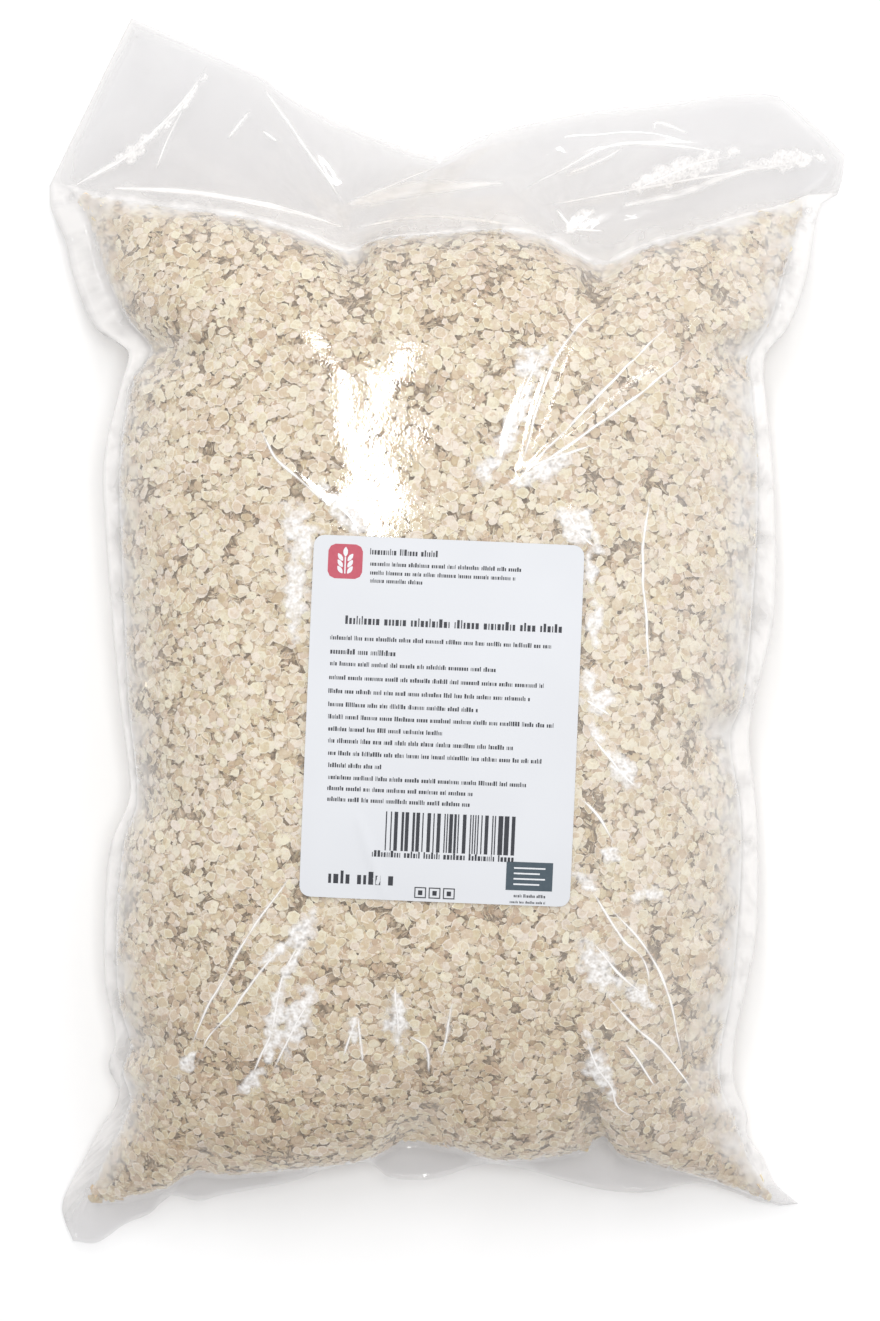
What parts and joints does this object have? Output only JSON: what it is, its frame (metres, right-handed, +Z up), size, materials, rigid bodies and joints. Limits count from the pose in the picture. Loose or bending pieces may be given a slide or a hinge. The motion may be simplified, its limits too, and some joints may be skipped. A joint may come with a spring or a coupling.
{
  "type": "clear bag of rolled oats",
  "caption": "Pillow-shaped clear film bag filled with small rolled oats, lying on its back with an adhesive paper label on its upper side.",
  "frame": {"origin": "on the floor, under the middle of the bag's outline", "axes": "+Z up from the floor towards the labelled side, +Y from the bottom seam towards the bag's mouth, +X across the bag"},
  "size_m": [0.386, 0.596, 0.1174],
  "materials": {
    "rolled_oats": "dry, floury oat flakes seen through film",
    "clear_film": "clear glossy film with creases",
    "label_paper": "smooth white adhesive paper",
    "label_ink": "dark printed ink"
  },
  "bodies": {
    "root": {"oats_bag": "rolled_oats", "label": "label_paper"}
  },
  "joints": []
}
